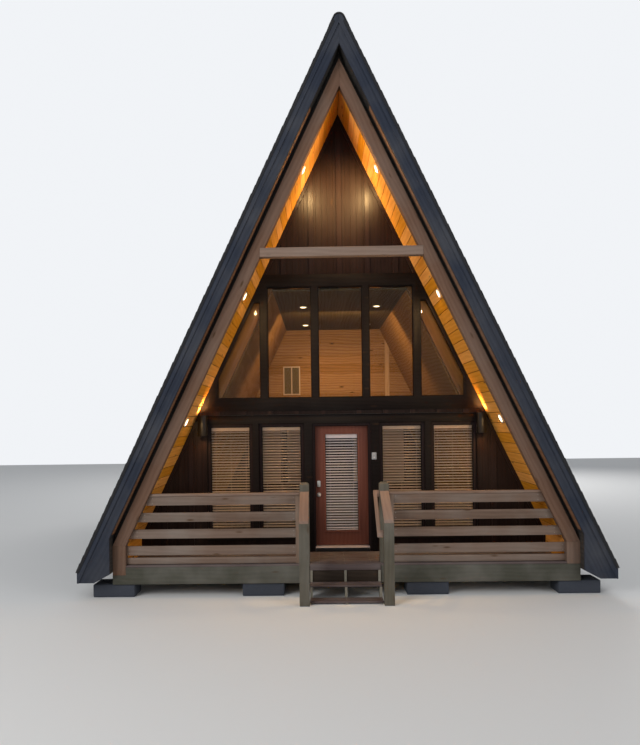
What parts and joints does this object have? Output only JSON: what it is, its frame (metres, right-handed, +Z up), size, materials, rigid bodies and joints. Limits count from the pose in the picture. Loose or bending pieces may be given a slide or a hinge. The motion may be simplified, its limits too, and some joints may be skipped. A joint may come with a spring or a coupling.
{
  "type": "a-frame cabin",
  "caption": "Steep A-frame cabin with a front porch, glazed gable, slatted railings, porch stair and a hinged half-glass front door.",
  "frame": {"origin": "centre of the overall footprint, on the ground", "axes": "+X to the right seen from the front, +Y from the front into the house along the ridge, +Z up"},
  "size_m": [8.3548, 12.002, 9.0122],
  "materials": {
    "siding": "dark stained board and batten",
    "dark_trim": "dark stained trim boards",
    "pine": "clear finished tongue and groove pine",
    "timber": "weathered sawn timber",
    "rail_wood": "weathered cedar boards",
    "treated_wood": "greenish treated lumber",
    "deck_wood": "reddish brown deck boards",
    "roof_framing": "closed roof framing",
    "fascia_paint": "charcoal painted boards",
    "shingles": "dark mineral surfaced roofing",
    "floor_wood": "boarded floor",
    "masonry": "dark painted masonry",
    "glass": "clear glass",
    "blind": "cream slats",
    "door_paint": "red-brown stained door",
    "nickel": "satin nickel",
    "aluminium": "mill finish threshold",
    "lamp_metal": "dark bronze",
    "lens": "light lens",
    "white_metal": "white enamel"
  },
  "bodies": {
    "house": {"foundation_walls": "masonry", "deck_piers": "masonry", "floor_platform": "floor_wood", "deck_frame": "treated_wood", "deck_boards": "deck_wood", "front_wall_left": "siding", "front_wall_right": "siding", "wall_over_door": "siding", "upper_front_wall": "dark_trim", "front_gable": "siding", "front_trim": "dark_trim", "rear_wall": "siding", "roof_left": "roof_framing", "roof_right": "roof_framing", "roofing_left": "shingles", "roofing_right": "shingles", "ridge_cap": "shingles", "fascia_left": "fascia_paint", "fascia_right": "fascia_paint", "lining_left": "pine", "lining_right": "pine", "front_timber_left": "timber", "front_timber_right": "timber", "timber_feet": "timber", "collar_tie": "timber", "rafters_left": "pine", "rafters_right": "pine", "upper_floor": "floor_wood", "upper_ceiling": "pine", "upper_partition": "pine", "return_grille": "white_metal", "window_frames": "dark_trim", "window_glass": "glass", "window_blinds": "blind", "door_frame": "dark_trim", "threshold": "aluminium", "stair_posts": "treated_wood", "stair_caps": "rail_wood", "stair_handrail": "rail_wood", "stair_treads": "deck_wood", "stair_stringers": "treated_wood", "wall_lamps": "lamp_metal", "downlights": "lens", "bell_box": "white_metal", "railing_left": "rail_wood", "railing_right": "rail_wood"},
    "front_door": {"door_leaf": "door_paint", "door_glass": "glass", "door_blind": "blind", "door_hardware": "nickel"}
  },
  "joints": [
    {"name": "front_door_hinge", "type": "hinge", "parent": "house", "child": "front_door", "pos_m": [0.46, -4.204, 1.623], "axis": [0, 0, -1], "range_deg": [0, 100]}
  ]
}
